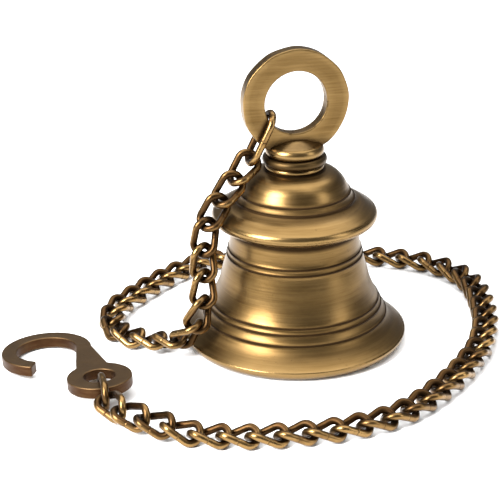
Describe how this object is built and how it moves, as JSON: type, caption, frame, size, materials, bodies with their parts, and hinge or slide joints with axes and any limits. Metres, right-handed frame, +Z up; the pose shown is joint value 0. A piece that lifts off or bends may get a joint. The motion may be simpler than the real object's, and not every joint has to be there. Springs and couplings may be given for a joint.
{
  "type": "hanging bell with chain and hook",
  "caption": "Small flared brass hand bell with a ring on its crown, a swinging clapper, and a long curb chain that ends in a flat open hook.",
  "frame": {"origin": "centre of the bell's mouth, on the plane its rim stands on", "axes": "+Z up along the bell's axis, -Y to the front, +X to the right of a viewer in front; the hook lies on the -X side"},
  "size_m": [0.2136, 0.1926, 0.1291],
  "materials": {
    "bell_brass": "turned, antique",
    "ring_brass": "brushed, antique",
    "dark_brass": "dark patina",
    "fitting_brass": "satin",
    "clapper_brass": "satin",
    "chain_brass": "worn dark patina",
    "hook_brass": "dull patina"
  },
  "bodies": {
    "bell": {"bell_shell": "bell_brass", "suspension_ring": "ring_brass", "neck_ferrule": "dark_brass", "crown_washer": "fitting_brass", "crown_nut": "fitting_brass", "clapper_eyebolt": "fitting_brass"},
    "clapper_link": {"clapper_link": "fitting_brass"},
    "clapper": {"clapper_rod": "fitting_brass", "clapper_ball": "clapper_brass"},
    "ring_link": {"ring_link": "chain_brass"},
    "chain_link_01": {"chain_link_01": "chain_brass"},
    "chain_link_02": {"chain_link_02": "chain_brass"},
    "chain_link_03": {"chain_link_03": "chain_brass"},
    "chain_link_04": {"chain_link_04": "chain_brass"},
    "chain_link_05": {"chain_link_05": "chain_brass"},
    "chain_link_06": {"chain_link_06": "chain_brass"},
    "chain_link_07": {"chain_link_07": "chain_brass"},
    "chain_link_08": {"chain_link_08": "chain_brass"},
    "chain_link_09": {"chain_link_09": "chain_brass"},
    "chain_link_10": {"chain_link_10": "chain_brass"},
    "chain_link_11": {"chain_link_11": "chain_brass"},
    "chain_link_12": {"chain_link_12": "chain_brass"},
    "chain_link_13": {"chain_link_13": "chain_brass"},
    "chain_link_14": {"chain_link_14": "chain_brass"},
    "chain_link_15": {"chain_link_15": "chain_brass"},
    "chain_link_16": {"chain_link_16": "chain_brass"},
    "chain_link_17": {"chain_link_17": "chain_brass"},
    "chain_link_18": {"chain_link_18": "chain_brass"},
    "chain_link_19": {"chain_link_19": "chain_brass"},
    "chain_link_20_21": {"chain_link_20_21": "chain_brass"},
    "chain_link_22_23": {"chain_link_22_23": "chain_brass"},
    "chain_link_24_25": {"chain_link_24_25": "chain_brass"},
    "chain_link_26_27": {"chain_link_26_27": "chain_brass"},
    "chain_link_28_29": {"chain_link_28_29": "chain_brass"},
    "chain_link_30_31": {"chain_link_30_31": "chain_brass"},
    "chain_link_32_33": {"chain_link_32_33": "chain_brass"},
    "chain_link_34_35": {"chain_link_34_35": "chain_brass"},
    "chain_link_36_37": {"chain_link_36_37": "chain_brass"},
    "chain_link_38": {"chain_link_38": "chain_brass"},
    "chain_link_39": {"chain_link_39": "chain_brass"},
    "chain_link_40": {"chain_link_40": "chain_brass"},
    "chain_link_41": {"chain_link_41": "chain_brass"},
    "chain_link_42": {"chain_link_42": "chain_brass"},
    "chain_link_43": {"chain_link_43": "chain_brass"},
    "chain_link_44": {"chain_link_44": "chain_brass"},
    "chain_link_45": {"chain_link_45": "chain_brass"},
    "chain_link_46": {"chain_link_46": "chain_brass"},
    "chain_link_47": {"chain_link_47": "chain_brass"},
    "chain_link_48": {"chain_link_48": "chain_brass"},
    "chain_link_49": {"chain_link_49": "chain_brass"},
    "chain_link_50": {"chain_link_50": "chain_brass"},
    "chain_link_51": {"chain_link_51": "chain_brass"},
    "chain_link_52": {"chain_link_52": "chain_brass"},
    "chain_link_53": {"chain_link_53": "chain_brass"},
    "chain_link_54": {"chain_link_54": "chain_brass"},
    "chain_link_55": {"chain_link_55": "chain_brass"},
    "chain_link_56": {"chain_link_56": "chain_brass"},
    "hook_link": {"hook_link": "chain_brass"},
    "hook": {"hook": "hook_brass"}
  },
  "joints": [
    {"name": "a_clapper_link_swing", "type": "hinge", "parent": "bell", "child": "clapper_link", "pos_m": [0, 0, 0.05647], "axis": [0, 1, 0], "range_deg": [-20, 20]},
    {"name": "b_clapper_swing", "type": "hinge", "parent": "clapper_link", "child": "clapper", "pos_m": [0, 0, 0.04462], "axis": [1, 0, 0], "range_deg": [-22, 22]},
    {"name": "c_ring_link_swing", "type": "hinge", "parent": "bell", "child": "ring_link", "pos_m": [-0.00944, -0.00271, 0.10153], "axis": [0.2756, -0.9613, 0], "range_deg": [-10, 0]},
    {"name": "d_link_01_bend", "type": "hinge", "parent": "ring_link", "child": "chain_link_01", "pos_m": [-0.01812, -0.00519, 0.08302], "axis": [-0.1473, -0.7442, 0.6515], "range_deg": [-13.6, 0.8]},
    {"name": "d_link_02_bend", "type": "hinge", "parent": "chain_link_01", "child": "chain_link_02", "pos_m": [-0.02445, -0.01046, 0.07557], "axis": [0.8197, -0.3482, -0.4548], "range_deg": [-24, 0.8]},
    {"name": "d_link_03_bend", "type": "hinge", "parent": "chain_link_02", "child": "chain_link_03", "pos_m": [-0.03079, -0.01534, 0.06788], "axis": [-0.0529, 0.9005, -0.4316], "range_deg": [-0.8, 24]},
    {"name": "d_link_04_bend", "type": "hinge", "parent": "chain_link_03", "child": "chain_link_04", "pos_m": [-0.03629, -0.01977, 0.05931], "axis": [0.9806, 0.0907, -0.1739], "range_deg": [-24, 5.6]},
    {"name": "d_link_05_bend", "type": "hinge", "parent": "chain_link_04", "child": "chain_link_05", "pos_m": [-0.03801, -0.02183, 0.04854], "axis": [-0.2717, 0.9558, -0.1125], "range_deg": [-1.7, 24]},
    {"name": "d_link_06_bend", "type": "hinge", "parent": "chain_link_05", "child": "chain_link_06", "pos_m": [-0.03787, -0.02309, 0.03751], "axis": [0.9065, 0.4068, -0.1131], "range_deg": [-24, 24]},
    {"name": "d_link_07_bend", "type": "hinge", "parent": "chain_link_06", "child": "chain_link_07", "pos_m": [-0.03826, -0.02525, 0.02663], "axis": [-0.5304, 0.8475, 0.0216], "range_deg": [-3, 19.7]},
    {"name": "d_link_08_bend", "type": "hinge", "parent": "chain_link_07", "child": "chain_link_08", "pos_m": [-0.04154, -0.02704, 0.01618], "axis": [-0.6777, -0.6356, 0.3699], "range_deg": [-5.6, 24]},
    {"name": "d_link_09_bend", "type": "hinge", "parent": "chain_link_08", "child": "chain_link_09", "pos_m": [-0.04858, -0.02425, 0.00807], "axis": [0.041, -0.3896, -0.9201], "range_deg": [-8.3, 15.3]},
    {"name": "d_link_10_bend", "type": "hinge", "parent": "chain_link_09", "child": "chain_link_10", "pos_m": [-0.05761, -0.01846, 0.00522], "axis": [0.4318, 0.8848, -0.1751], "range_deg": [-24, 24]},
    {"name": "d_link_11_bend", "type": "hinge", "parent": "chain_link_10", "child": "chain_link_11", "pos_m": [-0.06762, -0.01381, 0.00404], "axis": [-0.035, 0.0283, 0.999], "range_deg": [-18.8, 24]},
    {"name": "d_link_12_bend", "type": "hinge", "parent": "chain_link_11", "child": "chain_link_12", "pos_m": [-0.07625, -0.00685, 0.00354], "axis": [-0.9225, -0.3859, 0], "range_deg": [-7.4, 7.4]},
    {"name": "d_link_13_bend", "type": "hinge", "parent": "chain_link_12", "child": "chain_link_13", "pos_m": [-0.08053, 0.0034, 0.00364], "axis": [0, -0.0028, -1], "range_deg": [-24, 10.9]},
    {"name": "d_link_14_bend", "type": "hinge", "parent": "chain_link_13", "child": "chain_link_14", "pos_m": [-0.0807, 0.01449, 0.00361], "axis": [0.957, -0.2901, 0], "range_deg": [-17.1, 24]},
    {"name": "d_link_15_bend", "type": "hinge", "parent": "chain_link_14", "child": "chain_link_15", "pos_m": [-0.07748, 0.02512, 0.00362], "axis": [0.0001, 0.0001, 1], "range_deg": [-16.2, 24]},
    {"name": "d_link_16_bend", "type": "hinge", "parent": "chain_link_15", "child": "chain_link_16", "pos_m": [-0.07182, 0.03467, 0.00362], "axis": [-0.8715, 0.4903, 0], "range_deg": [-24, 24]},
    {"name": "d_link_17_bend", "type": "hinge", "parent": "chain_link_16", "child": "chain_link_17", "pos_m": [-0.06638, 0.04434, 0.00362], "axis": [0, 0, -1], "range_deg": [-17.1, 18]},
    {"name": "d_link_18_bend", "type": "hinge", "parent": "chain_link_17", "child": "chain_link_18", "pos_m": [-0.06028, 0.05362, 0.00362], "axis": [0.7921, -0.6104, 0], "range_deg": [-24, 24]},
    {"name": "d_link_19_bend", "type": "hinge", "parent": "chain_link_18", "child": "chain_link_19", "pos_m": [-0.0535, 0.06241, 0.00362], "axis": [0, 0, 1], "range_deg": [-24, 16.2]},
    {"name": "d_link_20_21_bend", "type": "hinge", "parent": "chain_link_19", "child": "chain_link_20_21", "pos_m": [-0.04567, 0.07027, 0.00362], "axis": [-0.5, 0.866, 0], "range_deg": [-24, 19.7]},
    {"name": "d_link_22_23_bend", "type": "hinge", "parent": "chain_link_20_21", "child": "chain_link_22_23", "pos_m": [-0.02538, 0.07886, 0.00362], "axis": [0, 0, -1], "range_deg": [-24, 24]},
    {"name": "d_link_24_25_bend", "type": "hinge", "parent": "chain_link_22_23", "child": "chain_link_24_25", "pos_m": [-0.00333, 0.08129, 0.00362], "axis": [0.0727, -0.9974, 0], "range_deg": [-24, 24]},
    {"name": "d_link_26_27_bend", "type": "hinge", "parent": "chain_link_24_25", "child": "chain_link_26_27", "pos_m": [0.01884, 0.08193, 0.00362], "axis": [0, 0, 1], "range_deg": [-15.3, 24]},
    {"name": "d_link_28_29_bend", "type": "hinge", "parent": "chain_link_26_27", "child": "chain_link_28_29", "pos_m": [0.04077, 0.07862, 0.00362], "axis": [0.238, 0.9713, 0], "range_deg": [-24, 24]},
    {"name": "d_link_30_31_bend", "type": "hinge", "parent": "chain_link_28_29", "child": "chain_link_30_31", "pos_m": [0.06202, 0.07229, 0.00362], "axis": [0, 0, -1], "range_deg": [-24, 13.6]},
    {"name": "d_link_32_33_bend", "type": "hinge", "parent": "chain_link_30_31", "child": "chain_link_32_33", "pos_m": [0.07775, 0.05678, 0.00362], "axis": [-0.9352, -0.354, 0], "range_deg": [-16.2, 24]},
    {"name": "d_link_34_35_bend", "type": "hinge", "parent": "chain_link_32_33", "child": "chain_link_34_35", "pos_m": [0.08345, 0.03544, 0.00362], "axis": [0, 0, 1], "range_deg": [-16.2, 24]},
    {"name": "d_link_36_37_bend", "type": "hinge", "parent": "chain_link_34_35", "child": "chain_link_36_37", "pos_m": [0.0841, 0.01325, 0.00362], "axis": [0.9983, -0.0581, 0], "range_deg": [-24, 24]},
    {"name": "d_link_38_bend", "type": "hinge", "parent": "chain_link_36_37", "child": "chain_link_38", "pos_m": [0.08137, -0.00873, 0.00362], "axis": [0, 0, -1], "range_deg": [-24, 6.5]},
    {"name": "d_link_39_bend", "type": "hinge", "parent": "chain_link_38", "child": "chain_link_39", "pos_m": [0.07895, -0.01956, 0.00362], "axis": [-0.9257, 0.3782, 0], "range_deg": [-24, 24]},
    {"name": "d_link_40_bend", "type": "hinge", "parent": "chain_link_39", "child": "chain_link_40", "pos_m": [0.07475, -0.02984, 0.00362], "axis": [0, 0, 1], "range_deg": [-4.8, 24]},
    {"name": "d_link_41_bend", "type": "hinge", "parent": "chain_link_40", "child": "chain_link_41", "pos_m": [0.0701, -0.03992, 0.00362], "axis": [0.8872, -0.4615, 0], "range_deg": [-24, 24]},
    {"name": "d_link_42_bend", "type": "hinge", "parent": "chain_link_41", "child": "chain_link_42", "pos_m": [0.06498, -0.04976, 0.00362], "axis": [0, 0, -1], "range_deg": [-24, 3.9]},
    {"name": "d_link_43_bend", "type": "hinge", "parent": "chain_link_42", "child": "chain_link_43", "pos_m": [0.05894, -0.05908, 0.00362], "axis": [-0.8211, 0.5708, 0], "range_deg": [-24, 24]},
    {"name": "d_link_44_bend", "type": "hinge", "parent": "chain_link_43", "child": "chain_link_44", "pos_m": [0.05261, -0.0682, 0.00362], "axis": [0, 0, 1], "range_deg": [-3.9, 24]},
    {"name": "d_link_45_bend", "type": "hinge", "parent": "chain_link_44", "child": "chain_link_45", "pos_m": [0.04539, -0.07663, 0.00362], "axis": [0.6439, -0.7651, 0], "range_deg": [-24, 24]},
    {"name": "d_link_46_bend", "type": "hinge", "parent": "chain_link_45", "child": "chain_link_46", "pos_m": [0.0369, -0.08378, 0.00362], "axis": [0, 0, -1], "range_deg": [-24, 3]},
    {"name": "d_link_47_bend", "type": "hinge", "parent": "chain_link_46", "child": "chain_link_47", "pos_m": [0.02712, -0.08903, 0.00362], "axis": [-0.393, 0.9196, 0], "range_deg": [-24, 24]},
    {"name": "d_link_48_bend", "type": "hinge", "parent": "chain_link_47", "child": "chain_link_48", "pos_m": [0.01692, -0.0934, 0.00362], "axis": [0, 0, 1], "range_deg": [-3.9, 24]},
    {"name": "d_link_49_bend", "type": "hinge", "parent": "chain_link_48", "child": "chain_link_49", "pos_m": [0.00608, -0.0958, 0.00362], "axis": [0.195, -0.9808, 0], "range_deg": [-24, 24]},
    {"name": "d_link_50_bend", "type": "hinge", "parent": "chain_link_49", "child": "chain_link_50", "pos_m": [-0.00481, -0.09797, 0.00362], "axis": [0, 0, -1], "range_deg": [-24, 3.9]},
    {"name": "d_link_51_bend", "type": "hinge", "parent": "chain_link_50", "child": "chain_link_51", "pos_m": [-0.01585, -0.09904, 0.00362], "axis": [0.0087, 1, 0], "range_deg": [-24, 24]},
    {"name": "d_link_52_bend", "type": "hinge", "parent": "chain_link_51", "child": "chain_link_52", "pos_m": [-0.02695, -0.09894, 0.00362], "axis": [0, 0, 1], "range_deg": [-3.9, 24]},
    {"name": "d_link_53_bend", "type": "hinge", "parent": "chain_link_52", "child": "chain_link_53", "pos_m": [-0.03799, -0.09773, 0.00362], "axis": [-0.2626, -0.9594, -0.1031], "range_deg": [-24, 24]},
    {"name": "d_link_54_bend", "type": "hinge", "parent": "chain_link_53", "child": "chain_link_54", "pos_m": [-0.04874, -0.09498, 0.00547], "axis": [0.0863, 0.3019, -0.9494], "range_deg": [-24, 5.6]},
    {"name": "d_link_55_bend", "type": "hinge", "parent": "chain_link_54", "child": "chain_link_55", "pos_m": [-0.05871, -0.09009, 0.00612], "axis": [0.4763, 0.7018, 0.5297], "range_deg": [-24, 24]},
    {"name": "d_link_56_bend", "type": "hinge", "parent": "chain_link_55", "child": "chain_link_56", "pos_m": [-0.06799, -0.08401, 0.00642], "axis": [0.5759, 0.4108, 0.7068], "range_deg": [-14.4, 24]},
    {"name": "x_hook_link_turn", "type": "hinge", "parent": "chain_link_56", "child": "hook_link", "pos_m": [-0.07472, -0.07518, 0.00677], "axis": [0, 0, -1], "range_deg": [-30, 4.8]},
    {"name": "y_hook_turn", "type": "hinge", "parent": "hook_link", "child": "hook", "pos_m": [-0.07806, -0.06107, 0.00677], "axis": [0, 0, 1], "range_deg": [-11.8, 40]}
  ]
}
